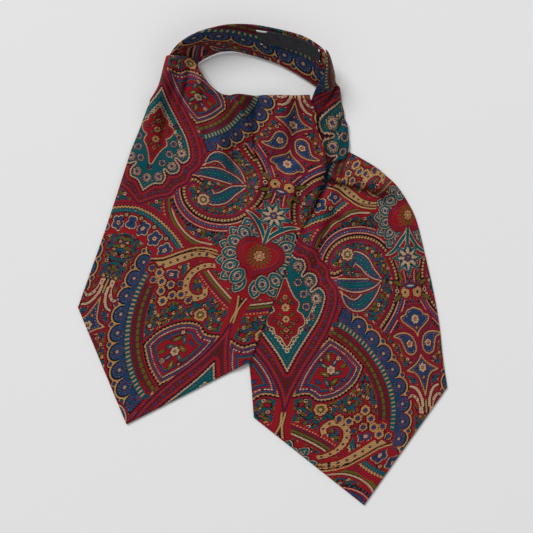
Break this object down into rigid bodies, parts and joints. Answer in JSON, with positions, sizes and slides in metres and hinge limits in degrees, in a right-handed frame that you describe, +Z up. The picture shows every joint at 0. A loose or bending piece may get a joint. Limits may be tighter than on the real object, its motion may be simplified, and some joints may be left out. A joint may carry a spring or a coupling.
{
  "type": "silk cravat",
  "caption": "Day cravat of printed silk laid flat, one pointed blade crossed over the other and the pleated neckband standing in a loop.",
  "frame": {"origin": "middle of the cravat's outline seen from above, on the surface that it lies on", "axes": "+X to the right and +Y up the cravat, towards the back of the neckband, as it lies face up; +Z up from the surface"},
  "size_m": [0.3064, 0.3948, 0.0297],
  "materials": {
    "printed_silk": "printed silk twill, soft sheen",
    "label_satin": "woven black satin"
  },
  "bodies": {
    "root": {"over_blade": "printed_silk", "over_neck": "printed_silk", "neckband": "printed_silk", "under_neck": "printed_silk", "under_blade": "printed_silk", "label": "label_satin"}
  },
  "joints": []
}
